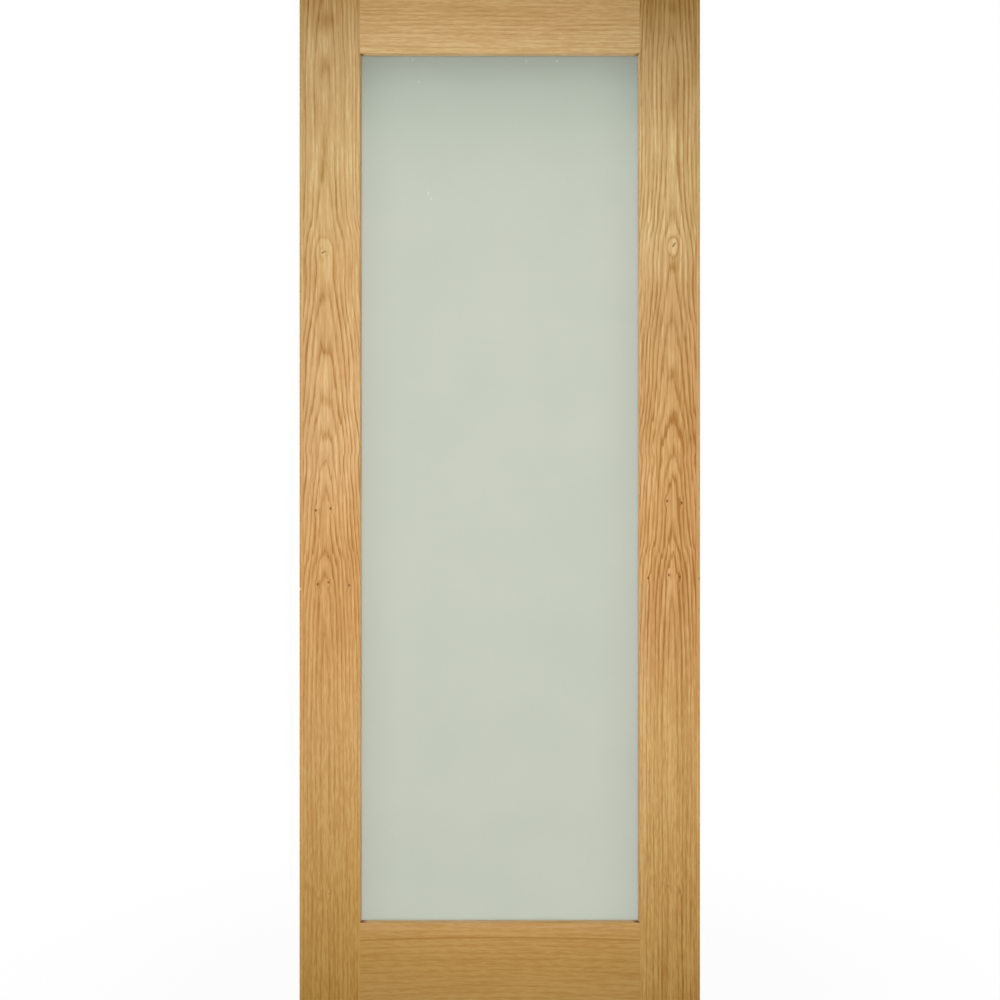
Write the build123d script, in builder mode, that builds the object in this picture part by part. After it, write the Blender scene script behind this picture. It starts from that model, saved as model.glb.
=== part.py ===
"""Glazed oak door leaf: two stiles and two rails round one tall pane of frosted safety glass.

Each stile and rail has a softwood core, solid oak lippings on the edges that show and an oak
veneer on both faces. The pane sits in a rebate cut from the back, behind a splayed stop that is
worked on the lippings and mitred at the corners. Tape beds the pane against the stop, and mitred,
splayed beads hold it there from the back.

X runs across the leaf from the hinge edge, Y through it from front to back, and Z up from its
bottom edge. The origin is on the hinge edge, at the bottom, midway through the thickness.
All sizes are in millimetres.
"""

import os
from math import atan2, degrees

from build123d import *

# Leaf: the widths of the stiles and rails are those of their faces
leaf_width = 813.0
leaf_height = 2032.0
leaf_thickness = 35.0
stile_width = 122.5
top_rail_depth = 109.5
bottom_rail_depth = 158.0

# Veneer and lippings
veneer_thickness = 0.6
edge_lipping_width = 7.5  # solid oak on the two long outer edges, through the whole thickness
edge_arris_radius = 2.0
glazing_lipping_width = 17.0  # solid oak under the veneer, beside the opening

# Glazing
stop_thickness = 6.0  # the wood in front of the rebate, with its veneer
stop_width = 3.0  # how far the splayed stop reaches into the opening, to the sight line
stop_edge = 0.5  # the flat that the splay leaves at the back of the stop
glass_thickness = 5.0
glass_arris = 0.8
glass_edge_clearance = 3.0  # between the pane's edge and the wall of the rebate
rebate_width = 13.0  # how far the rebate reaches behind the sight line
tape_thickness = 1.0
tape_setback = 0.5  # from the inner edge of the stop or bead to the tape
bead_setback = 1.0  # how far the beads lie below the back face
bead_sight_setback = 2.0  # from the sight line to the inner edge of the beads
bead_nose = 2.0  # how deep a bead is at its inner edge, in front of its splayed face
bead_splay_width = 6.5  # how far the splayed face reaches outwards from that edge
bead_wall_clearance = 0.3

# Places that follow from these sizes
face_y = leaf_thickness / 2
core_y = face_y - veneer_thickness
core_thickness = 2 * core_y
rail_length = leaf_width - 2 * stile_width
opening_width = rail_length - 2 * stop_width
opening_bottom = bottom_rail_depth + stop_width
opening_top = leaf_height - top_rail_depth - stop_width
opening_height = opening_top - opening_bottom
opening_centre = (leaf_width / 2, (opening_bottom + opening_top) / 2)
stop_back_y = stop_thickness - face_y
stop_depth = stop_thickness - veneer_thickness
stop_splay_depth = stop_depth - stop_edge
stop_splay_angle = degrees(atan2(stop_width, stop_splay_depth))
glass_front_y = stop_back_y + tape_thickness
glass_back_y = glass_front_y + glass_thickness
glass_bite = rebate_width - glass_edge_clearance
tape_reach = glass_bite - glass_arris
bead_front_y = glass_back_y + tape_thickness
bead_back_y = face_y - bead_setback
bead_depth = bead_back_y - bead_front_y
bead_reach = rebate_width - bead_wall_clearance

# The front face looks along -Y, as the normal of this plane does: offset(y) lies y in front of it.
elevation = Plane.XZ
between_stiles = Plane.YZ.offset(leaf_width / 2)


def save(part, name):
    """Labels a finished piece and writes it to its own file."""
    part.label = name
    export_step(part, f"parts/{name}.step")


def side_plane(x, z, along):
    """A plane on one side of the sight line: X along the side, Y into the opening, Z to the front."""
    return Plane(origin=(x, 0, z), x_dir=along, z_dir=elevation.z_dir)


def mitred_outline(length, near, far):
    """Corners of a mitred strip that lies from near to far outside a sight line of this length."""
    half = length / 2
    return [(-half - far, -far), (half + far, -far), (half + near, -near), (-half - near, -near)]


os.makedirs("parts", exist_ok=True)

# The four sides of the sight line: a plane in the middle of each, and its length
middle_x, middle_z = opening_centre
hinge_x = middle_x - opening_width / 2
lock_x = middle_x + opening_width / 2
sight_lines = {
    "top": (side_plane(middle_x, opening_top, (-1, 0, 0)), opening_width),
    "bottom": (side_plane(middle_x, opening_bottom, (1, 0, 0)), opening_width),
    "hinge_side": (side_plane(hinge_x, middle_z, (0, 0, -1)), opening_height),
    "lock_side": (side_plane(lock_x, middle_z, (0, 0, 1)), opening_height),
}

# The space that is cut out for the pane and its beads, from the back face to the stop
with BuildPart() as glazing_rebate:
    with BuildSketch(elevation.offset(-face_y)):
        with Locations(opening_centre):
            Rectangle(opening_width + 2 * rebate_width, opening_height + 2 * rebate_width)
    extrude(amount=face_y - stop_back_y)

# The wood that is planed off to splay the front of the stop
with BuildPart() as splay_waste:
    with BuildSketch(elevation.offset(core_y)):
        with Locations(opening_centre):
            Rectangle(opening_width + 2 * stop_width, opening_height + 2 * stop_width)
    extrude(amount=-stop_splay_depth, taper=stop_splay_angle)


# Stiles: the hinge stile is drawn, and the lock stile is its mirror image

with BuildPart() as stile_core:
    with BuildSketch(Plane.XY):
        with Locations((edge_lipping_width, 0)):
            Rectangle(
                stile_width - edge_lipping_width - glazing_lipping_width,
                core_thickness,
                align=(Align.MIN, Align.CENTER),
            )
    extrude(amount=leaf_height)

with BuildPart() as edge_lipping:
    with BuildSketch(Plane.XY) as edge_section:
        Rectangle(edge_lipping_width, leaf_thickness, align=(Align.MIN, Align.CENTER))
        fillet(edge_section.vertices().group_by(Axis.X)[0], edge_arris_radius)
    extrude(amount=leaf_height)

with BuildPart() as stile_glazing_lipping:
    with BuildSketch(Plane.XY):
        with Locations((stile_width, 0)):
            Rectangle(glazing_lipping_width, core_thickness, align=(Align.MAX, Align.CENTER))
    extrude(amount=leaf_height)
    stile_sight_line, stile_sight_length = sight_lines["hinge_side"]
    with BuildSketch(stile_sight_line.offset(core_y)):
        Polygon(*mitred_outline(stile_sight_length, 0, stop_width), align=None)
    extrude(amount=-stop_depth)
    add([glazing_rebate.part, splay_waste.part], mode=Mode.SUBTRACT)

with BuildPart() as stile_front_veneer:
    with BuildSketch(elevation.offset(core_y)):
        with Locations((edge_lipping_width, 0)):
            Rectangle(stile_width - edge_lipping_width, leaf_height, align=(Align.MIN, Align.MIN))
    extrude(amount=veneer_thickness)

with BuildPart() as stile_back_veneer:
    with BuildSketch(elevation.offset(-face_y)):
        with Locations((edge_lipping_width, 0)):
            Rectangle(stile_width - edge_lipping_width, leaf_height, align=(Align.MIN, Align.MIN))
    extrude(amount=veneer_thickness)
    add(glazing_rebate.part, mode=Mode.SUBTRACT)

for drawn, name in (
    (stile_core, "stile_core"),
    (edge_lipping, "edge_lipping"),
    (stile_glazing_lipping, "stile_glazing_lipping"),
    (stile_front_veneer, "stile_front_veneer"),
    (stile_back_veneer, "stile_back_veneer"),
):
    with BuildPart() as mirrored:
        mirror(drawn.part, about=between_stiles)
    save(drawn.part, f"hinge_{name}")
    save(mirrored.part, f"lock_{name}")


# Rails: each runs between the stiles, from the leaf's outer edge to the opening

for side, outer_z, rail_depth, outward in (
    ("top", leaf_height, top_rail_depth, 1),
    ("bottom", 0.0, bottom_rail_depth, -1),
):
    rail_sight_line, rail_sight_length = sight_lines[side]
    inner_z = outer_z - outward * rail_depth
    glue_z = inner_z + outward * glazing_lipping_width

    with BuildPart() as rail_core:
        with BuildSketch(Plane.YZ.offset(stile_width)):
            with Locations((0, (outer_z + glue_z) / 2)):
                Rectangle(core_thickness, rail_depth - glazing_lipping_width)
        extrude(amount=rail_length)
    save(rail_core.part, f"{side}_rail_core")

    with BuildPart() as rail_glazing_lipping:
        with BuildSketch(Plane.YZ.offset(stile_width)):
            with Locations((0, (inner_z + glue_z) / 2)):
                Rectangle(core_thickness, glazing_lipping_width)
        extrude(amount=rail_length)
        with BuildSketch(rail_sight_line.offset(core_y)):
            Polygon(*mitred_outline(rail_sight_length, 0, stop_width), align=None)
        extrude(amount=-stop_depth)
        add([glazing_rebate.part, splay_waste.part], mode=Mode.SUBTRACT)
    save(rail_glazing_lipping.part, f"{side}_rail_glazing_lipping")

    with BuildPart() as rail_front_veneer:
        with BuildSketch(elevation.offset(core_y)):
            with Locations((leaf_width / 2, (outer_z + inner_z) / 2)):
                Rectangle(rail_length, rail_depth)
        extrude(amount=veneer_thickness)
    save(rail_front_veneer.part, f"{side}_rail_front_veneer")

    with BuildPart() as rail_back_veneer:
        with BuildSketch(elevation.offset(-face_y)):
            with Locations((leaf_width / 2, (outer_z + inner_z) / 2)):
                Rectangle(rail_length, rail_depth)
        extrude(amount=veneer_thickness)
        add(glazing_rebate.part, mode=Mode.SUBTRACT)
    save(rail_back_veneer.part, f"{side}_rail_back_veneer")


# Pane

with BuildPart() as glass_pane:
    with BuildSketch(elevation.offset(-glass_back_y)):
        with Locations(opening_centre):
            Rectangle(opening_width + 2 * glass_bite, opening_height + 2 * glass_bite)
    extrude(amount=glass_thickness)
    chamfer(glass_pane.faces().filter_by(Axis.Y).edges(), glass_arris)
save(glass_pane.part, "glass_pane")


# Beads and tapes: one mitred strip of each on every side of the opening

for side, (sight_line, length) in sight_lines.items():
    bead_back = sight_line.offset(-bead_back_y)
    with BuildPart() as bead:
        with BuildSketch(bead_back):
            Polygon(*mitred_outline(length, bead_sight_setback, bead_reach), align=None)
        extrude(amount=bead_depth)
        back_face = bead.faces().sort_by(Axis.Y)[-1]
        inner_arris = bead.edges().sort_by_distance(bead_back.origin)[0]
        chamfer(inner_arris, bead_splay_width, bead_depth - bead_nose, reference=back_face)
    save(bead.part, f"{side}_bead")

    for face, tape_back_y, cover_edge in (
        ("front", glass_front_y, 0.0),
        ("back", bead_front_y, bead_sight_setback),
    ):
        with BuildPart() as tape:
            with BuildSketch(sight_line.offset(-tape_back_y)):
                Polygon(*mitred_outline(length, cover_edge + tape_setback, tape_reach), align=None)
            extrude(amount=tape_thickness)
        save(tape.part, f"{side}_{face}_tape")
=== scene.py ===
"""Looks of a glazed oak door leaf: bookmatched veneers, solid oak edges, an etched pane and its beads."""

import math
from functools import partial

import bmesh
import bpy
from mathutils import Matrix, Vector


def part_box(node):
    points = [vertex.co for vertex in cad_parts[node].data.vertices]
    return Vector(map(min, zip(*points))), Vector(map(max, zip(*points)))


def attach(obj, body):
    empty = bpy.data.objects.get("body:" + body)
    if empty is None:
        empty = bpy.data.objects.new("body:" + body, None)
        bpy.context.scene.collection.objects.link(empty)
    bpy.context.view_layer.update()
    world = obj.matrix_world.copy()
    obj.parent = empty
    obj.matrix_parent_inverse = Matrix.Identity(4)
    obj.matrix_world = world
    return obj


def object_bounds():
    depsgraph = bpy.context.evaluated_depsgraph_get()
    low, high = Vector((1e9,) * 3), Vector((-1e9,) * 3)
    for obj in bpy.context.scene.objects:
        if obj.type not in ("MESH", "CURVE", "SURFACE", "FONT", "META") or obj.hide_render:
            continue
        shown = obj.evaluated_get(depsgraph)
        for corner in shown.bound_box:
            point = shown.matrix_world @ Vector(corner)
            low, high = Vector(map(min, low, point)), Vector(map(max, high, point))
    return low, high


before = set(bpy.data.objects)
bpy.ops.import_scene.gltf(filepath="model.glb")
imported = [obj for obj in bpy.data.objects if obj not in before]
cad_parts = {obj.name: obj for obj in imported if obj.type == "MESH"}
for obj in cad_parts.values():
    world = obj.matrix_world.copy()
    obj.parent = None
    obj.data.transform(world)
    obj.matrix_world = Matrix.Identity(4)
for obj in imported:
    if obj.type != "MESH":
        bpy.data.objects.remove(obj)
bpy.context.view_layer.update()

# The leaf, read from the frame: its corners in metres, its sizes in millimetres
MM = 0.001
leaf_low, leaf_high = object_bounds()
leaf_centre = (leaf_low + leaf_high) / 2
leaf_width = (leaf_high.x - leaf_low.x) / MM
leaf_height = (leaf_high.z - leaf_low.z) / MM
face_y = leaf_high.y / MM
edge_lipping_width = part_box("hinge_edge_lipping")[1].x / MM

# All sizes below are in millimetres, down to the studio

# Oak grain: width and length of its streaks. Pores are 0.3 wide in real oak: drawn coarser so that they show
PORES = (2.6, 22.0)
FIBRES = (4.2, 110.0)
BANDS = (11.0, 260.0)
PATCHES = (26.0, 130.0)
PORE_DEPTH = 0.2
PORE_TINT = "CBB695"  # darkens the pale wood where the grain is darkest
PALE_FIBRE = (1.04, 1.13, 1.26)  # how much brighter the palest fibres are, in red, green and blue
SOLID_OAK_RING = 3.6
# Rings sway in slow streaks of this width and length, and this far to each side
SOLID_SWAY, SOLID_SWAY_REACH = (30.0, 350.0), 6.0
RAIL_SWAY, RAIL_SWAY_REACH = (50.0, 420.0), 10.0
ARCH_SWAY, ARCH_SWAY_REACH = (15.0, 170.0), 4.0

# Bookmatched stile veneers: one sheet opened like a book, so the lock side mirrors the hinge side
ARCH_AXIS = 52.0  # from the leaf's long edge to the middle of the arches
ARCH_FLANK = 10.0  # between growth rings on the flanks of an arch
FLANK_CROWDING = 55.0  # how far from the axis the rings have crowded together by one more ring
HEAD_LIFT = 34.0  # how far the heads of the arches are moved up or down
FIBRE_LIFT = 18.0  # the same for single fibres
LIFTED_FIBRES = (3.4, 90.0)  # their width and length
HEAD_DIP = 26.0  # how far a flat head sags in its middle
HEAD_DIP_WIDTH = 10.0
# Height up the leaf and the growth ring that the arch axis meets there: arches point up where it rises
ARCH_RINGS = (
    (0, -1.45), (140, -1.3), (218, -1.2), (406, -1.4), (630, -1.25), (760, -0.9), (870, 0.0),
    (916, 1.0), (1024, 2.0), (1085, 3.0), (1146, 4.0), (1225, 5.0), (1323, 6.0), (1443, 7.0),
    (1552, 8.0), (1687, 8.9), (1741, 9.0), (1849, 8.85), (1905, 9.0), (1946, 9.3), (2000, 9.6), (2032, 9.8),
)
RING_LOW = -4.0  # the rings that the curve can draw start here
RING_SPAN = 16.0
# Height up the leaf and how round the arches' heads are there, from pointed to flat
ARCH_ROUND = (
    (0, 0.15), (880, 0.15), (1040, 0.2), (1100, 0.35), (1150, 0.75), (1215, 0.6), (1323, 0.85),
    (1440, 0.45), (1525, 0.8), (1600, 0.4), (2032, 0.5),
)
ARCH_ROUND_MOST = 36.0  # radius of the flattest head
# Height up the leaf and how strong the figure is there
FIGURE = (
    (0, 0.46), (200, 0.36), (300, 0.32), (620, 0.46), (850, 0.9), (1100, 1.0), (1420, 0.8), (1520, 0.7),
    (1640, 0.78), (1760, 0.6), (1930, 0.66), (2032, 1.0),
)
# Shares of the leaf's height between which the fine grain of the foot gives way to the broad grain above
FINE_BELOW, BROAD_ABOVE = 0.2, 0.42
FADE_SPAN = 115.0  # across a sheet, from its outer side to its inner side
GLUE_LINE = (0.4, 1.6)  # from the joint: the glue's stain is full up to the first, gone beyond the second
# Knots in the sheet: across from the leaf's edge, height, how far the grain parts round it, how dark it is
KNOTS = (
    (49, 1519, 26, 0.0), (33, 995, 13, 0.9), (63, 999, 13, 0.9), (37, 845, 12, 0.8), (59, 849, 12, 0.8),
    (101, 843, 12, 0.8), (61, 217, 15, 0.3), (37, 207, 12, 0.15),
)
KNOT_PARTING = 26.0  # a knot that parts the grain this far pushes it aside by one ring
PARTING_WIDTH = 0.7  # as a share of its height
KNOT_EDGE = (0.8, 3.2)  # a knot is fully dark within the first, and gone beyond the second
# The first knot is a pale eye with a dark slit across it: half length, half width and how strong each is
EYE = (9.0, 6.0, 0.45)
EYE_SLIT = (6.8, 2.8, 0.72)
# Soft dark smudges in the heads of the upper arches: across from the leaf's edge, height, half width, half
# height, how dark
HINGE_SMUDGES = (
    (54, 1988, 26, 38, 0.6), (50, 1898, 18, 34, 0.22), (46, 1676, 7, 36, 0.5), (50, 1610, 10, 90, 0.2),
    (50, 1400, 10, 120, 0.3),
)
LOCK_SMUDGES = (
    (52, 2000, 15, 24, 0.5), (49, 1822, 13, 100, 0.55), (48, 1480, 12, 26, 0.5), (50, 1262, 11, 20, 0.35),
    (49, 1170, 14, 20, 0.4), (50, 1108, 8, 14, 0.3),
)
FLAT = 1e6  # a half size that leaves its direction out

# Softwood core, foam tape, glass and pins
STAVE_WIDTH = 32.0
SOFTWOOD_RING = 3.4
CORE_SWAY, CORE_SWAY_REACH = (18.0, 300.0), 4.0
PITH_CORNER = (-14.0, -110.0, 0.0)  # the pith of a stave's log lies in a region with this low corner
PITH_REGION = (60.0, 80.0, 0.0)  # and this size
SAW_MARKS = (1.6, 30.0)  # width and length
FOAM_CELL = 0.8
ETCH_GRAIN = 2.5  # under 0.1 in real etched glass: drawn coarser so that it shows
ETCH_CLOUD = 160.0
# Flecks of dust on the front of the pane, towards its head: across from the leaf's edge, and height
DUST = ((229, 1912), (242, 1867), (261, 1641), (267, 1629), (460, 1909), (523, 1909))
FLECK = (1.8, 1.8, 4.0)  # half sizes
PIN_SPACING = 190.0
PIN_FROM_END = 45.0
PIN_FROM_EDGE = 2.1
PIN_RADIUS = 0.9
PIN_PROUD = 0.15
FILLER_BLOT = 0.6

# Tones of the pale wood: of each stile and of the edges from foot to head, of a rail from its lower side
HINGE_TONES = (
    (0.0, "D5A555"), (0.18, "D2A361"), (0.275, "D5A76B"), (0.37, "D5A467"), (0.455, "DAA96D"),
    (0.54, "E6BA83"), (0.72, "E0B67C"), (0.82, "E2BF85"), (0.955, "DDB981"), (1.0, "CFA769"),
)
LOCK_TONES = (
    (0.0, "DAAB5F"), (0.1, "D8A964"), (0.2, "D9AD6C"), (0.28, "DBAF70"), (0.37, "D8A86D"), (0.46, "DEAD71"),
    (0.6, "DCAF73"), (0.7, "DEB37B"), (0.77, "EAC88F"), (0.855, "EECC91"), (0.955, "DBB57B"), (1.0, "C39A57"),
)
EDGE_TONES = (
    (0.0, "E0AC5C"), (0.175, "E7B363"), (0.425, "DEA862"), (0.625, "E4B377"), (0.87, "E2BB77"),
    (1.0, "D8AE6A"),
)
TOP_RAIL_TONES = ((0.0, "E4BD84"), (1.0, "D9AE71"))
BOTTOM_RAIL_TONES = ((0.0, "D5A760"), (0.3, "D1A15A"), (0.5, "CF9F57"), (0.85, "D5A560"), (1.0, "DBAB6A"))
# The glazing lippings are drawn pale, and the rails' palest at the head: painted light on the returns round
# the opening, most on the soffit over it
STILE_SIGHT_TONES = ((0.0, "E6BC83"), (1.0, "E8BF89"))
RAIL_SIGHT_TONES = ((0.0, "E2C089"), (1.0, "F5D39A"))
BEAD_TONES = ((0.0, "E0B478"), (1.0, "E3BA80"))

# The sheet on each stile and face: each lay a little further into the log, so it has moved, and differs
STILE_SHEETS = {
    ("hinge", "front"): {
        "mirrored": False, "inset": 0.0, "slide": 0.0, "ring_shift": 0.0, "roundness": 1.0,
        "contrast": 1.0, "fade": (0.0, 0.0, 0.0), "eye_tilt": -25, "seed": 3.0,
        "tones": HINGE_TONES, "smudges": HINGE_SMUDGES,
    },
    ("lock", "front"): {
        "mirrored": True, "inset": 4.0, "slide": 15.0, "ring_shift": -0.3, "roundness": 0.7,
        "contrast": 1.4, "fade": (0.025, 0.05, 0.1), "eye_tilt": 60, "seed": 11.0,
        "tones": LOCK_TONES, "smudges": LOCK_SMUDGES,
    },
    ("hinge", "back"): {
        "mirrored": False, "inset": 7.0, "slide": 36.0, "ring_shift": -0.6, "roundness": 0.9,
        "contrast": 1.2, "fade": (0.02, 0.04, 0.07), "eye_tilt": -35, "seed": 19.0,
        "tones": LOCK_TONES, "smudges": HINGE_SMUDGES,
    },
    ("lock", "back"): {
        "mirrored": True, "inset": 9.0, "slide": 48.0, "ring_shift": -0.9, "roundness": 0.8,
        "contrast": 1.1, "fade": (0.0, 0.0, 0.0), "eye_tilt": 40, "seed": 27.0,
        "tones": HINGE_TONES, "smudges": LOCK_SMUDGES,
    },
}

# The sheets on the rails
NO_LINE = -1000.0  # a height well off the leaf, for a rail without a dark line
DARK_LINE = (0.6, 3.2)  # from its middle: full up to the first, gone beyond the second
RAIL_SHEETS = {
    "top": {
        "ring_width": 9.0, "bow": 3.0, "dark_line": NO_LINE, "figure": 0.3, "broad": 0.5, "fine": 1.1,
        "tones": TOP_RAIL_TONES,
    },
    "bottom": {
        "ring_width": 12.0, "bow": 6.0, "dark_line": 128.0, "figure": 0.14, "broad": 0.32, "fine": 0.8,
        "tones": BOTTOM_RAIL_TONES,
    },
}
RAIL_SEEDS = {
    ("top", "front"): 5.0, ("bottom", "front"): 8.0, ("top", "back"): 31.0, ("bottom", "back"): 34.0,
}

# Marks and painted shade on solid oak: place, half sizes, colour and how far it covers the wood.
# The arrises of the long edges are darkened with painted shade, and each front one has a mark halfway up
EDGE_SHADE_AND_MARKS = [
    ((x, y, leaf_height / 2), (2.6, 2.6, 2 * leaf_height), "8C642E", 0.5)
    for x in (0.0, leaf_width) for y in (-face_y, face_y)
] + [
    ((0.0, -face_y, 835.0), (4.0, 4.0, 4.0), "F2DFB8", 0.8),
    ((leaf_width, -face_y, 857.0), (4.5, 4.5, 4.5), "5E3C1C", 0.8),
]
# Painted shade darkens the corners of the opening
opening_low, opening_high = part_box("bottom_rail_glazing_lipping")
foot_z, head_z = opening_high.z / MM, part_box("top_rail_glazing_lipping")[0].z / MM
CORNER_SHADE_Y = -14.0  # on the splay round the opening
CORNER_SHADE = [
    ((x / MM, CORNER_SHADE_Y, z), half_sizes, "5E2C00", cover) for x in (opening_low.x, opening_high.x)
    for z, half_sizes, cover in ((foot_z, (16.0, 11.0, 11.0), 0.85), (head_z, (12.0, 8.0, 8.0), 0.8))
]


def linear(hex_colour):
    """A colour written as sRGB hex, as linear RGBA."""
    channels = [int(hex_colour[i:i + 2], 16) / 255 for i in (0, 2, 4)]
    return [c / 12.92 if c <= 0.04045 else ((c + 0.055) / 1.055) ** 2.4 for c in channels] + [1.0]


def feed(node, socket, value):
    """Links an output to a node's input, or sets that input to a value."""
    if isinstance(value, bpy.types.NodeSocket):
        node.id_data.links.new(value, node.inputs[socket])
    else:
        node.inputs[socket].default_value = value


def add_node(tree, kind, *values, out=0, sockets=None, **settings):
    """Adds a node with its settings, feeds its inputs in order or by name, and returns one output."""
    node = tree.nodes.new("ShaderNode" + kind)
    for setting, value in settings.items():
        setattr(node, setting, value)
    for socket, value in [*enumerate(values), *(sockets or {}).items()]:
        feed(node, socket, value)
    return node.outputs[out]


def new_material(name):
    """A material, a shorthand that adds nodes to it, and its shader."""
    material = bpy.data.materials.new(name)
    material.use_nodes = True
    return material, partial(add_node, material.node_tree), material.node_tree.nodes["Principled BSDF"]


def draw_curve(node, points, across, low, span):
    """Gives a curve node its points, as shares of its width and height."""
    curve = node.mapping.curves[0]
    while len(curve.points) < len(points):
        curve.points.new(0.5, 0.5)
    for point, (place, value) in zip(curve.points, points):
        point.location = (place / across, (value - low) / span)
        point.handle_type = "AUTO_CLAMPED"
    node.mapping.update()


def draw_ramp(node, stops):
    """Gives a ramp node its stops, as shares of its length with sRGB hex colours."""
    elements = node.color_ramp.elements
    while len(elements) < len(stops):
        elements.new(0.5)
    for element, (place, colour) in zip(elements, stops):
        element.position = place
        element.color = linear(colour)


def add_object(name, shape, material):
    """An object made from a shape, which is used up, in one material."""
    mesh = bpy.data.meshes.new(name)
    shape.to_mesh(mesh)
    shape.free()
    mesh.materials.append(material)
    made = bpy.data.objects.new(name, mesh)
    bpy.context.scene.collection.objects.link(made)
    return made


# Oak: every surface is drawn in its own wood space, in millimetres, with the grain along Z


def wood_space(n, along, place=(0, 0, 0)):
    """Object coordinates in millimetres, turned so that the grain runs along Z, with zero at a place."""
    turn = (0, math.radians(90), 0) if along == "X" else (0, 0, 0)
    centred = n("VectorMath", n("TexCoord", out="Object"), Vector(place) * MM, operation="SUBTRACT")
    return n("Mapping", centred, sockets={"Rotation": turn, "Scale": (1 / MM, 1 / MM, 1 / MM)})


def height_share(n):
    """How high up the leaf a point is, from 0 to 1."""
    height = n("SeparateXYZ", n("TexCoord", out="Object"), out=2)
    return n("Math", height, 1 / (leaf_height * MM), operation="MULTIPLY")


def off_ellipsoid(n, space, place, half_sizes, tilt=0.0):
    """How far a point is from a place, where 1 is on an ellipsoid of these half sizes, tilted about Y."""
    local = n("Mapping", space, place, (0, math.radians(tilt), 0), half_sizes, vector_type="TEXTURE")
    return n("VectorMath", local, operation="LENGTH", out="Value")


def streaks(n, wood, seed, width, length, out=0):
    """Noise drawn out along the grain, in streaks of about this width and length. Nearly all of it lies
    between 0.25 and 0.75."""
    stretched = n("Mapping", wood, (seed, seed, seed), sockets={"Scale": (1 / width, 1 / width, 1 / length)})
    return n("TexNoise", stretched, sockets={"Scale": 1.0, "Detail": 2.0, "Roughness": 0.5}, out=out)


def oak_lines(n, wood, rings, seed, figure, broad, fine, thinning=1.0):
    """How dark the oak is, from about -0.1 to 1: open pores crowd at the start of each ring, fibres streak
    the rest, and the palest fibres are below 0.
    Figure is how strong the rings are, broad and fine how strong those streaks are, and thinning below 1
    draws the dark side of a ring thinner."""
    early = n("ValToRGB", n("Math", n("Math", rings, operation="FRACT"), thinning, operation="POWER"))
    draw_ramp(early.node, (
        (0.0, "C8C8C8"), (0.07, "FFFFFF"), (0.24, "DCDCDC"), (0.45, "787878"),
        (0.62, "282828"), (0.9, "000000"), (1.0, "C8C8C8"),
    ))
    # Rings differ in how dark they are
    ring = n("Math", n("Math", rings, operation="FLOOR"), seed, operation="ADD")
    strength = n("TexWhiteNoise", sockets={"W": ring}, noise_dimensions="1D")
    line = n("Math", early, n("MapRange", strength, 0.0, 1.0, 0.45, 1.1), operation="MULTIPLY")
    pores = streaks(n, wood, seed + 5, *PORES)
    fibres = streaks(n, wood, seed, *FIBRES)
    bands = streaks(n, wood, seed + 9, *BANDS)
    patches = streaks(n, wood, seed + 13, *PATCHES)
    line = n("Math", line, n("MapRange", pores, 0.3, 0.7, 0.75, 1.15), operation="MULTIPLY")
    line = n("Math", line, n("MapRange", patches, 0.3, 0.7, 0.6, 1.25), operation="MULTIPLY")
    streak = n("Math", n("MapRange", bands, 0.25, 0.75, 0.0, 0.34),
               n("MapRange", fibres, 0.25, 0.75, -0.3, 0.34), operation="ADD")
    line = n("Math", line, figure, n("Math", streak, broad, operation="MULTIPLY"), operation="MULTIPLY_ADD")
    return n("Math", n("MapRange", pores, 0.25, 0.75, -0.16, 0.16), fine, line, operation="MULTIPLY_ADD")


def finish_oak(n, shader, line, pale, marks_and_shade=(), gloss=0.2, roughness=(0.5, 0.62)):
    """Sanded and thinly lacquered oak: dark pores in pale wood, a low sheen, pores just open to the touch.
    Each mark, a real one or painted shade, is a colour and how far it covers the wood."""
    dark = n("VectorMath", pale, linear(PORE_TINT)[:3], operation="MULTIPLY")
    bright = n("VectorMath", pale, PALE_FIBRE, operation="MULTIPLY")
    brightness = n("MapRange", line, 0.14, -0.04, 0.0, 1.0)
    lit = n("Mix", brightness, sockets={6: pale, 7: bright}, data_type="RGBA", out=2)
    colour = n("Mix", line, sockets={6: lit, 7: dark}, data_type="RGBA", out=2)
    for mark_colour, cover in marks_and_shade:
        colour = n("Mix", cover, sockets={6: colour, 7: linear(mark_colour)}, data_type="RGBA", out=2)
    feed(shader, "Base Color", colour)
    feed(shader, "Roughness", n("MapRange", line, 0.0, 1.0, *roughness))
    feed(shader, "Specular IOR Level", gloss)
    feed(shader, "Normal", n("Bump", 0.12, PORE_DEPTH * MM, sockets={"Height": line}, invert=True))


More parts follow.
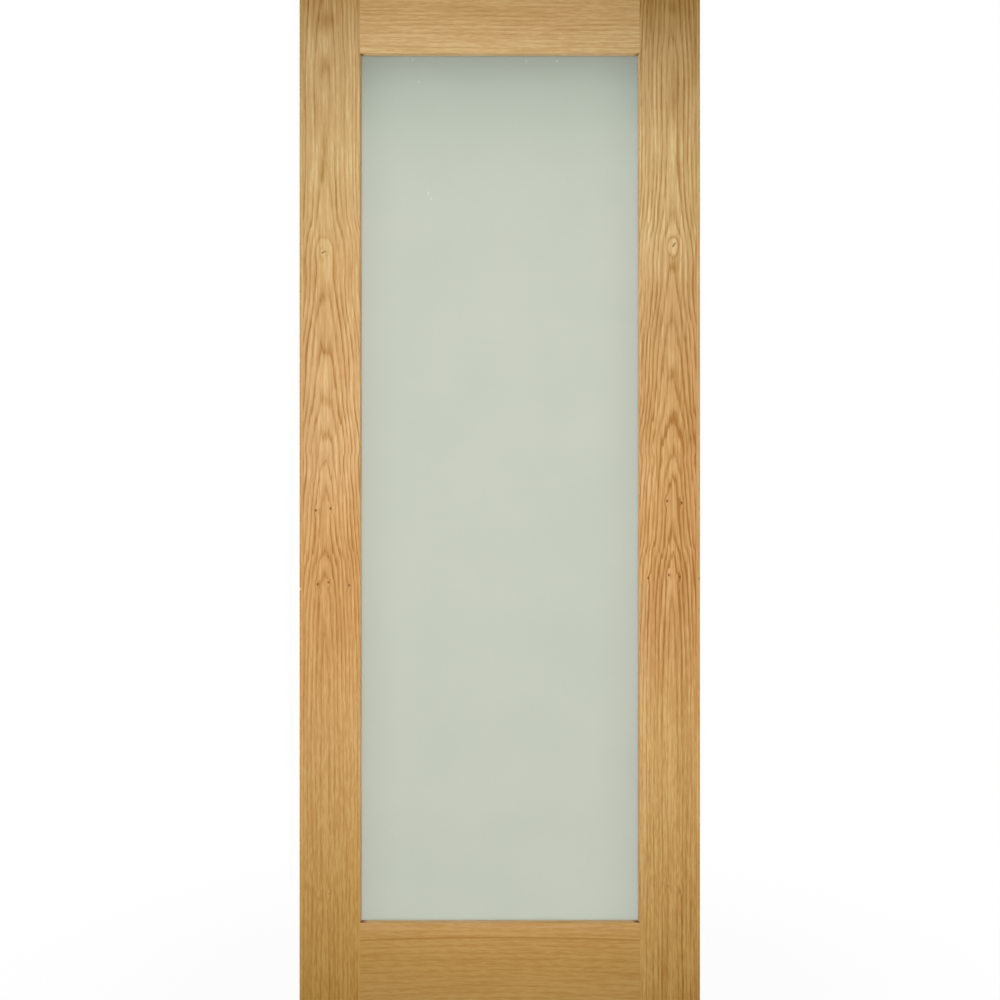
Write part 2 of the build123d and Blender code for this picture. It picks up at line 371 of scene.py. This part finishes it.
def crown_cut_oak(
    name, mirrored, inset, slide, ring_shift, roundness, contrast, fade, eye_tilt, seed, tones, smudges,
):
    """Oak veneer, crown-cut: arched growth rings, one above the other, with nearly straight flanks.
    The sheet is the shared one, mirrored or not, moved inwards and up the leaf, with its own roundness of
    heads, contrast and tilt of the eye. Fade is how much paler its inner side is than its middle, in red,
    green and blue."""
    material, n, shader = new_material(name)
    way = -1 if mirrored else 1
    axis_x = (leaf_width if mirrored else 0.0) - ARCH_AXIS - inset
    sheet = n("Mapping", n("TexCoord", out="Object"), (axis_x, 0, -slide),
              sockets={"Scale": (way / MM, 1 / MM, 1 / MM)})
    across, _, height = n("SeparateXYZ", sheet).node.outputs
    off_axis = n("Math", across, operation="ABSOLUTE")
    share = height_share(n)

    # Heads of the arches are lifted fibre by fibre and sag in the middle, flanks sway a little
    sway, lift, _ = n("SeparateColor", streaks(n, sheet, seed + 21, *ARCH_SWAY, out="Color")).node.outputs
    fibre_lift = n("MapRange", streaks(n, sheet, seed, *LIFTED_FIBRES), 0.0, 1.0, -FIBRE_LIFT, FIBRE_LIFT)
    head_round = n("FloatCurve", 1.0, share)
    draw_curve(head_round.node, ARCH_ROUND, leaf_height, 0, 1)
    head_round = n("Math", head_round, roundness, operation="MULTIPLY")
    middle = n("MapRange", off_axis, HEAD_DIP_WIDTH, 0.0, 0.0, HEAD_DIP, interpolation_type="SMOOTHSTEP")
    dip = n("Math", n("Math", head_round, 2.0, operation="POWER"), middle, operation="MULTIPLY")
    lift = n("Math", n("MapRange", lift, 0.0, 1.0, -HEAD_LIFT, HEAD_LIFT), dip, operation="ADD")
    lift = n("Math", fibre_lift, lift, operation="ADD")
    ring_height = n("Math", height, lift, operation="ADD")
    sway = n("MapRange", sway, 0.0, 1.0, -ARCH_SWAY_REACH, ARCH_SWAY_REACH)
    ring_across = n("Math", sway, across, operation="ADD")

    # Rings: a rise up the axis plus a spread across it
    axis_ring = n("FloatCurve", 1.0, n("Math", ring_height, leaf_height, operation="DIVIDE"))
    draw_curve(axis_ring.node, ARCH_RINGS, leaf_height, RING_LOW, RING_SPAN)
    radius = n("Math", head_round, ARCH_ROUND_MOST, operation="MULTIPLY")
    reach = n("VectorMath", n("CombineXYZ", ring_across, radius), operation="LENGTH", out="Value")
    flank = n("Math", n("Math", reach, radius, operation="SUBTRACT"), 1 / ARCH_FLANK, operation="MULTIPLY")
    crowding = n("Math", ring_across, 1 / FLANK_CROWDING, operation="MULTIPLY")
    flank = n("Math", n("Math", crowding, 2.0, operation="POWER"), flank, operation="ADD")
    rings = n("Math", axis_ring, RING_SPAN, flank, operation="MULTIPLY_ADD")
    rings = n("Math", rings, ring_shift, operation="ADD")

    # Rings bulge round each knot
    knots = 0.0
    squat = n("VectorMath", sheet, (1.0, 0.0, PARTING_WIDTH), operation="MULTIPLY")
    core, edge = KNOT_EDGE
    for knot_across, knot_height, parting, darkness in KNOTS:
        knot = (knot_across - ARCH_AXIS, 0, PARTING_WIDTH * knot_height)
        away = n("VectorMath", squat, knot, operation="DISTANCE", out="Value")
        push = n("MapRange", away, parting, 0.0, 0.0, parting / KNOT_PARTING, interpolation_type="SMOOTHSTEP")
        rings = n("Math", rings, push, operation="SUBTRACT")
        spot = n("MapRange", away, edge, core, 0.0, darkness, interpolation_type="SMOOTHSTEP")
        knots = n("Math", knots, spot, operation="MAXIMUM")
    # The eye lies in the first parting
    eye_across, eye_height = KNOTS[0][:2]
    eye_place = (eye_across - ARCH_AXIS, 0, eye_height)
    covers = []
    for half_length, half_width, cover in (EYE, EYE_SLIT):
        away = off_ellipsoid(n, sheet, eye_place, (half_length, FLAT, half_width), eye_tilt)
        covers.append(n("MapRange", away, 1.1, 0.6, 0.0, cover, interpolation_type="SMOOTHSTEP"))
    eye, slit = covers

    # The figure is strong in the arches and faint at the foot, where the grain is finer
    figure = n("FloatCurve", 1.0, share)
    draw_curve(figure.node, FIGURE, leaf_height, 0, 1)
    figure = n("Math", figure, contrast, operation="MULTIPLY")
    broad = n("MapRange", share, FINE_BELOW, BROAD_ABOVE, 0.5 * contrast, 0.8 * contrast)
    fine = n("MapRange", share, FINE_BELOW, BROAD_ABOVE, 1.6, 0.8)
    thinning = n("MapRange", off_axis, 2.0, 16.0, 0.5, 1.0)
    line = oak_lines(n, sheet, rings, seed, figure, broad, fine, thinning)
    for smudge_across, smudge_height, half_width, half_height, darkness in smudges:
        smudge_place = (smudge_across - ARCH_AXIS, 0, smudge_height)
        away = off_ellipsoid(n, sheet, smudge_place, (half_width, FLAT, half_height))
        smudge = n("MapRange", away, 1.0, 0.0, 0.0, darkness, interpolation_type="SMOOTHSTEP")
        line = n("Math", line, smudge, operation="ADD", use_clamp=True)

    # Glue darkens the joint with the lipping, and the pale wood fades across the sheet
    joint = edge_lipping_width - ARCH_AXIS - inset
    full, gone = GLUE_LINE
    glue = n("MapRange", across, joint + gone, joint + full, 0.0, 0.3)
    line = n("Math", line, glue, operation="ADD", use_clamp=True)
    pale = n("ValToRGB", share)
    draw_ramp(pale.node, tones)
    inwards = n("MapRange", across, joint, joint + FADE_SPAN, -1.0, 1.0)
    inwards = n("CombineXYZ", inwards, inwards, inwards)
    tint = n("VectorMath", inwards, fade, (1, 1, 1), operation="MULTIPLY_ADD")
    pale = n("VectorMath", pale, tint, operation="MULTIPLY")
    finish_oak(n, shader, line, pale, (("E9CC95", eye), ("94661C", slit), ("6A4620", knots)))
    return material


def straight_cut_oak(name, rail, seed, ring_width, bow, dark_line, figure, broad, fine, tones):
    """Straight-grained oak veneer, cut near the quarter: fine lines along the rail that bow a little.
    One line is darker: it lies at a height, or off the rail where there is none."""
    material, n, shader = new_material(name)
    low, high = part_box(rail)
    half_length = (high.x - low.x) / 2 / MM
    wood = wood_space(n, "X", (leaf_width / 2, 0, 0))
    height, _, along = n("SeparateXYZ", wood).node.outputs
    from_middle = n("Math", n("Math", along, 1 / half_length, operation="MULTIPLY"), 2.0, operation="POWER")
    sway = streaks(n, wood, seed + 21, *RAIL_SWAY)
    sway = n("MapRange", sway, 0.0, 1.0, -RAIL_SWAY_REACH, RAIL_SWAY_REACH)
    level = n("Math", from_middle, bow, height, operation="MULTIPLY_ADD")
    rings = n("Math", n("Math", level, sway, operation="ADD"), 1 / ring_width, operation="MULTIPLY")
    line = oak_lines(n, wood, rings, seed, figure, broad, fine)
    off_line = n("Math", n("Math", level, dark_line, operation="SUBTRACT"), operation="ABSOLUTE")
    full, gone = DARK_LINE
    stain = n("MapRange", off_line, gone, full, 0.0, 0.4, interpolation_type="SMOOTHSTEP")
    line = n("Math", line, stain, operation="ADD", use_clamp=True)
    pale = n("ValToRGB", n("MapRange", height, low.z / MM, high.z / MM))
    draw_ramp(pale.node, tones)
    finish_oak(n, shader, line, pale)
    return material


def solid_oak(name, along, pith, seed, tones, marks_and_shade=(), gloss=0.2, roughness=(0.5, 0.62)):
    """Solid oak, planed: rings round a far-off pith line, so sides show lines and ends show arcs."""
    material, n, shader = new_material(name)
    wood = wood_space(n, along)
    section = n("VectorMath", wood, (1, 1, 0), operation="MULTIPLY")
    sway = streaks(n, wood, seed + 21, *SOLID_SWAY)
    sway = n("MapRange", sway, 0.0, 1.0, -SOLID_SWAY_REACH, SOLID_SWAY_REACH)
    radius = n("VectorMath", section, pith, operation="DISTANCE", out="Value")
    rings = n("Math", n("Math", radius, sway, operation="ADD"), 1 / SOLID_OAK_RING, operation="MULTIPLY")
    line = oak_lines(n, wood, rings, seed, figure=0.45, broad=0.65, fine=0.65)
    pale = n("ValToRGB", height_share(n))
    draw_ramp(pale.node, tones)
    covers = []
    for place, half_sizes, colour, cover in marks_and_shade:
        away = off_ellipsoid(n, n("TexCoord", out="Object"), Vector(place) * MM, Vector(half_sizes) * MM)
        covers.append((colour, n("MapRange", away, 1.0, 0.4, 0.0, cover)))
    finish_oak(n, shader, line, pale, covers, gloss, roughness)
    return material


def stave_core(name, along, start):
    """Laminated softwood core, sawn: pale staves glued side by side, with amber late wood and end grain."""
    material, n, shader = new_material(name)
    wood = wood_space(n, along, start)
    across, through, _ = n("SeparateXYZ", wood).node.outputs
    stave = n("Math", across, 1 / STAVE_WIDTH, operation="MULTIPLY")
    number = n("Math", stave, operation="FLOOR")
    place = n("Math", n("Math", stave, operation="FRACT"), STAVE_WIDTH, operation="MULTIPLY")
    # Each stave was sawn from its own place in a log
    cut = n("TexWhiteNoise", sockets={"W": number}, noise_dimensions="1D", out="Color")
    pith = n("VectorMath", cut, PITH_REGION, operation="MULTIPLY")
    pith = n("VectorMath", pith, PITH_CORNER, operation="ADD")
    section = n("CombineXYZ", place, through)
    sway = n("MapRange", streaks(n, wood, 4.0, *CORE_SWAY), 0.0, 1.0, -CORE_SWAY_REACH, CORE_SWAY_REACH)
    radius = n("VectorMath", section, pith, operation="DISTANCE", out="Value")
    rings = n("Math", n("Math", radius, sway, operation="ADD"), 1 / SOFTWOOD_RING, operation="MULTIPLY")
    late = n("ValToRGB", n("Math", rings, operation="FRACT"))
    draw_ramp(late.node, (
        (0.0, "F2D9AE"), (0.55, "E8C68F"), (0.85, "CB9556"), (0.93, "BD8446"), (1.0, "F2D9AE"),
    ))
    sawn = n("MapRange", streaks(n, wood, 7.0, *SAW_MARKS), 0.25, 0.75, 0.82, 1.1)
    colour = n("VectorMath", late, operation="SCALE", sockets={"Scale": sawn})
    from_glue = n("Math", n("Math", stave, 0.5, operation="ADD"), operation="FRACT")
    from_glue = n("Math", n("Math", from_glue, 0.5, operation="SUBTRACT"), operation="ABSOLUTE")
    glue = n("MapRange", from_glue, 0.012, 0.004, 0.0, 0.6)
    colour = n("Mix", glue, sockets={6: colour, 7: linear("9A7448")}, data_type="RGBA", out=2)
    feed(shader, "Base Color", colour)
    feed(shader, "Roughness", n("MapRange", sawn, 0.82, 1.1, 0.8, 0.68))
    feed(shader, "Specular IOR Level", 0.2)
    feed(shader, "Normal", n("Bump", 0.2, 0.3 * MM, sockets={"Height": sawn}))
    return material


def foam_tape():
    """Closed-cell foam glazing tape: off-white, matt and finely pitted."""
    material, n, shader = new_material("closed_cell_foam_tape")
    cells = n("TexVoronoi", n("TexCoord", out="Object"), sockets={"Scale": 1 / (FOAM_CELL * MM)})
    colour = n("ValToRGB", cells)
    draw_ramp(colour.node, ((0.0, "8E8C86"), (0.45, "C9C7C0"), (1.0, "D6D4CE")))
    feed(shader, "Base Color", colour)
    feed(shader, "Roughness", 0.9)
    feed(shader, "Specular IOR Level", 0.15)
    feed(shader, "Normal", n("Bump", 0.5, 0.2 * MM, sockets={"Height": cells}))
    return material


def etched_glass():
    """Acid-etched toughened glass: a soft grey-green body, faintly mottled, that scatters what is behind it.
    A few pale flecks of dust lie on its front."""
    material, n, shader = new_material("acid_etched_toughened_glass")
    place = n("TexCoord", out="Object")
    grain = n("TexNoise", place, sockets={"Scale": 1 / (ETCH_GRAIN * MM), "Detail": 3.0, "Roughness": 0.7})
    cloud = n("TexNoise", place, sockets={"Scale": 1 / (ETCH_CLOUD * MM), "Detail": 2.0})
    shade = n("Math", n("MapRange", cloud, 0.3, 0.7, 0.3, 0.7), n("MapRange", grain, 0.3, 0.7, -0.3, 0.3),
              operation="ADD", use_clamp=True)
    colour = n("Mix", shade, sockets={6: linear("CCD3C3"), 7: linear("D4D9CB")}, data_type="RGBA", out=2)
    front_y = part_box("glass_pane")[0].y
    for across, height in DUST:
        fleck = (across * MM, front_y, height * MM)
        cover = n("MapRange", off_ellipsoid(n, place, fleck, Vector(FLECK) * MM), 1.0, 0.4, 0.0, 0.9)
        colour = n("Mix", cover, sockets={6: colour, 7: linear("FFFFFF")}, data_type="RGBA", out=2)
    feed(shader, "Base Color", colour)
    feed(shader, "Roughness", n("MapRange", grain, 0.3, 0.7, 0.3, 0.36))
    feed(shader, "Transmission Weight", 0.85)
    feed(shader, "IOR", 1.52)
    feed(shader, "Normal", n("Bump", 0.15, 0.1 * MM, sockets={"Height": grain}))
    return material


def pin_filler():
    """Wax filler over steel pins: a little darker than the oak round it, dull and uneven."""
    material, n, shader = new_material("wax_filled_pin_head")
    place = n("TexCoord", out="Object")
    blots = n("TexNoise", place, sockets={"Scale": 1 / (FILLER_BLOT * MM), "Detail": 2.0})
    colour = n("ValToRGB", blots)
    draw_ramp(colour.node, ((0.3, "9A6E3C"), (0.7, "BC8E54")))
    feed(shader, "Base Color", colour)
    feed(shader, "Roughness", n("MapRange", blots, 0.3, 0.7, 0.5, 0.7))
    feed(shader, "Specular IOR Level", 0.3)
    return material


def dress(node, material):
    """Gives a CAD node its finish."""
    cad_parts[node].material_slots[0].material = material


for (stile, face), sheet in STILE_SHEETS.items():
    dress(f"{stile}_stile_{face}_veneer", crown_cut_oak(f"crown_cut_oak_{stile}_{face}", **sheet))
for (rail, face), seed in RAIL_SEEDS.items():
    veneer = f"{rail}_rail_{face}_veneer"
    dress(veneer, straight_cut_oak(f"straight_cut_oak_{rail}_{face}", veneer, seed, **RAIL_SHEETS[rail]))

core = {
    "Z": stave_core("laminated_softwood_stile_core", "Z", (edge_lipping_width, 0, 0)),
    "X": stave_core("laminated_softwood_rail_core", "X", (0, 0, 0)),
}
# The edge lipping's arrises are darkened with painted shade
edge_oak = solid_oak("solid_oak_edge_lipping", "Z", (-70.0, 45.0, 0.0), 8.0, EDGE_TONES, EDGE_SHADE_AND_MARKS)
# The glazing lippings' pale tones are painted light on the returns round the opening
sight_oak = {
    "Z": solid_oak("solid_oak_stile_glazing_lipping", "Z", (300.0, 90.0, 0.0), 14.0, STILE_SIGHT_TONES),
    # Its corners of the opening are darkened with painted shade
    "X": solid_oak(
        "solid_oak_rail_glazing_lipping", "X", (900.0, 120.0, 0.0), 17.0, RAIL_SIGHT_TONES, CORNER_SHADE,
        gloss=0.5, roughness=(0.34, 0.46),
    ),
}
bead_oak = {
    "Z": solid_oak("solid_oak_side_bead", "Z", (200.0, -60.0, 0.0), 23.0, BEAD_TONES),
    "X": solid_oak("solid_oak_cross_bead", "X", (1200.0, -80.0, 0.0), 29.0, BEAD_TONES),
}
tape = foam_tape()

for stile in ("hinge", "lock"):
    dress(f"{stile}_stile_core", core["Z"])
    dress(f"{stile}_edge_lipping", edge_oak)
    dress(f"{stile}_stile_glazing_lipping", sight_oak["Z"])
    dress(f"{stile}_side_bead", bead_oak["Z"])
for rail in ("top", "bottom"):
    dress(f"{rail}_rail_core", core["X"])
    dress(f"{rail}_rail_glazing_lipping", sight_oak["X"])
    dress(f"{rail}_bead", bead_oak["X"])
for side in ("top", "bottom", "hinge_side", "lock_side"):
    for face in ("front", "back"):
        dress(f"{side}_{face}_tape", tape)
dress("glass_pane", etched_glass())


# Pins that hold the beads: only their filled heads show, just proud of the flat strip at the back of a bead


def add_pin_heads(bead, along, across, outward, filler):
    """A row of pin heads in a bead: evenly spaced along it, in the middle of its flat strip."""
    low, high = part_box(bead)
    spare = high[along] - low[along] - 2 * PIN_FROM_END * MM
    gaps = max(1, round(spare / (PIN_SPACING * MM)))
    shape = bmesh.new()
    for i in range(gaps + 1):
        place = Vector((0.0, high.y, 0.0))
        place[along] = low[along] + PIN_FROM_END * MM + spare * i / gaps
        place[across] = (high if outward > 0 else low)[across] - outward * PIN_FROM_EDGE * MM
        turned = Matrix.Translation(place) @ Matrix.Rotation(math.radians(-90), 4, "X")
        head = bmesh.ops.create_cone(
            shape, cap_ends=True, segments=20, radius1=PIN_RADIUS * MM, radius2=0.9 * PIN_RADIUS * MM,
            depth=2 * PIN_PROUD * MM, matrix=turned,
        )
        rim = {edge for vert in head["verts"] if vert.co.y > high.y for edge in vert.link_edges}
        rim = [edge for edge in rim if all(vert.co.y > high.y for vert in edge.verts)]
        bmesh.ops.bevel(
            shape, geom=rim, offset=0.5 * PIN_PROUD * MM, segments=2, profile=0.5, affect="EDGES",
            material=-1,
        )
    heads = add_object(f"{bead}_pin_heads", shape, filler)
    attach(heads, "root")


X, Z = 0, 2  # places of these axes in a corner of a box
filler = pin_filler()
for bead, along, across, outward in (
    ("top_bead", X, Z, 1), ("bottom_bead", X, Z, -1),
    ("hinge_side_bead", Z, X, -1), ("lock_side_bead", Z, X, 1),
):
    add_pin_heads(bead, along, across, outward, filler)


# Studio: floor, world, card, lamps and camera, in metres and watts

FLOOR_SIDE = 12.0
FLOOR_WHITENESS = (0.95, 1.0)  # under the leaf, and well away from it
FLOOR_FADE = (0.3, 1.3)  # how far from the leaf the one gives way to the other
AMBIENT = 0.22
CARD_BEHIND = 0.12
CARD_SIZE = (1.6, 2.3)
CARD_ASIDE = -0.004
# Shades of the card by height, and by distance from its middle
CARD_BY_HEIGHT = (
    (0.0, "FFFFFF"), (0.2, "FEFEFE"), (0.3, "FCFCFC"), (0.55, "FCFCFC"), (0.9, "FEFEFE"), (1.2, "FFFFFF"),
    (1.612, "FFFFFF"), (1.739, "F9FBFA"), (1.803, "F2F6F4"), (1.824, "EDF1EF"), (1.846, "E6ECEB"),
    (1.887, "E1E9E6"), (1.91, "D8DDDB"), (1.931, "CBD2D0"), (1.953, "BBBFBD"), (2.3, "B1B5B3"),
)
CARD_BY_SIDE = ((0.0, "FFFFFF"), (0.215, "FFFFFF"), (0.281, "F3F3F3"), (0.34, "E1E1E1"), (0.8, "E1E1E1"))
CARD_HEAD = (1.8, 1.93)  # between these heights the sides of the card grow darker,
CARD_HEAD_POWER = 1.9  # up to this power of their shade
CAMERA_DISTANCE = 2.55
CAMERA_ASIDE = 0.0005
OVERFILL = 1.0012  # how much taller the leaf is than the picture


def background_rays(tree):
    """1 for rays that should see a plain white background, from the camera, in gloss and through glass."""
    path = add_node(tree, "LightPath").node.outputs
    seen = add_node(tree, "Math", path["Is Camera Ray"], path["Is Glossy Ray"], operation="MAXIMUM")
    return add_node(tree, "Math", seen, path["Is Transmission Ray"], operation="MAXIMUM")


def light_world():
    """An even, dim light from all round, on a background that looks white."""
    world = bpy.data.worlds.new("studio")
    bpy.context.scene.world = world
    world.use_nodes = True
    tree = world.node_tree
    strength = add_node(tree, "MapRange", background_rays(tree), 0.0, 1.0, AMBIENT, 1.0)
    feed(tree.nodes["Background"], "Color", (1, 1, 1, 1))
    feed(tree.nodes["Background"], "Strength", strength)


def add_floor():
    """A matt painted floor that takes the leaf's shadow and fades into the white background."""
    middle = (leaf_centre.x, 0, leaf_low.z)
    material, n, shader = new_material("white_painted_floor")
    feed(shader, "Base Color", linear("C8C8C6"))
    feed(shader, "Roughness", 0.9)
    tree = material.node_tree
    away = n("VectorMath", n("TexCoord", out="Object"), middle, operation="DISTANCE", out="Value")
    whiteness = n("MapRange", away, *FLOOR_FADE, *FLOOR_WHITENESS, interpolation_type="SMOOTHSTEP")
    whiteness = n("Math", whiteness, background_rays(tree), operation="MULTIPLY")
    glow = n("Emission", (1, 1, 1, 1), 1.0)
    feed(tree.nodes["Material Output"], "Surface", n("MixShader", whiteness, shader.outputs[0], glow))
    shape = bmesh.new()
    bmesh.ops.create_grid(shape, x_segments=1, y_segments=1, size=FLOOR_SIDE / 2)
    bmesh.ops.translate(shape, verts=shape.verts, vec=middle)
    floor = add_object("studio_floor", shape, material)


def add_flag():
    """A grey card behind the pane, seen only through the glass, that shades it towards its head, foot and
    sides."""
    width, height = CARD_SIZE
    material, n, _ = new_material("grey_card")
    across, _, up = n("SeparateXYZ", n("TexCoord", out="Object")).node.outputs
    by_height = n("ValToRGB", n("Math", up, 1 / height, operation="MULTIPLY"))
    draw_ramp(by_height.node, [(place / height, colour) for place, colour in CARD_BY_HEIGHT])
    from_middle = n("Math", across, leaf_centre.x + CARD_ASIDE, operation="SUBTRACT")
    from_middle = n("Math", from_middle, operation="ABSOLUTE")
    by_side = n("ValToRGB", n("Math", from_middle, 2 / width, operation="MULTIPLY"))
    draw_ramp(by_side.node, [(2 * place / width, colour) for place, colour in CARD_BY_SIDE])
    by_side = n("Math", by_side, n("MapRange", up, *CARD_HEAD, 1.0, CARD_HEAD_POWER), operation="POWER")
    shade = n("VectorMath", by_height, by_side, operation="MULTIPLY")
    feed(material.node_tree.nodes["Material Output"], "Surface", n("Emission", shade, 1.0))
    shape = bmesh.new()
    bmesh.ops.create_grid(shape, x_segments=1, y_segments=1, size=0.5)
    bmesh.ops.scale(shape, verts=shape.verts, vec=(width, height, 1))
    bmesh.ops.rotate(shape, verts=shape.verts, matrix=Matrix.Rotation(math.radians(90), 3, "X"))
    bmesh.ops.translate(shape, verts=shape.verts, vec=(leaf_centre.x, CARD_BEHIND, leaf_low.z + height / 2))
    flag = add_object("studio_flag", shape, material)
    flag.visible_camera = flag.visible_diffuse = flag.visible_glossy = flag.visible_shadow = False


def add_softbox(name, place, aim, width, height, spread, power):
    """A softbox with a grid that keeps its light within a spread of so many degrees."""
    lamp = bpy.data.lights.new(name, "AREA")
    lamp.shape = "RECTANGLE"
    lamp.size = width
    lamp.size_y = height
    lamp.spread = math.radians(spread)
    lamp.energy = power
    box = bpy.data.objects.new(name, lamp)
    bpy.context.scene.collection.objects.link(box)
    box.location = place
    box.rotation_euler = (Vector(aim) - Vector(place)).to_track_quat("-Z", "Y").to_euler()
    box.visible_camera = box.visible_glossy = box.visible_transmission = False


def add_camera():
    """Looks square at the front face, which just overfills the height of the picture."""
    camera = bpy.data.objects.new("camera", bpy.data.cameras.new("camera"))
    bpy.context.scene.collection.objects.link(camera)
    camera.location = (leaf_centre.x + CAMERA_ASIDE, leaf_low.y - CAMERA_DISTANCE, leaf_centre.z)
    camera.rotation_euler = (math.radians(90), 0, 0)
    camera.data.angle = 2 * math.atan(leaf_height * MM / 2 / OVERFILL / CAMERA_DISTANCE)
    bpy.context.scene.camera = camera


light_world()
add_floor()
add_flag()
add_softbox("softbox_left", (-1.1, -1.7, 1.22), (0.35, 0, 1.18), width=0.7, height=2.2, spread=45, power=4.9)
add_softbox("softbox_right", (1.9, -1.7, 0.84), (0.45, 0, 0.84), width=0.7, height=2.2, spread=45, power=3.7)
add_softbox("softbox_behind", (0.4, 2.4, 1.3), (0.4, 0, 1.0), width=1.6, height=1.6, spread=120, power=23)
add_softbox("softbox_above", (0.4, 0.3, 3.8), (0.4, 0.05, 2.03), width=1.2, height=0.4, spread=60, power=3.4)
add_camera()
bpy.context.scene.view_settings.view_transform = "Standard"
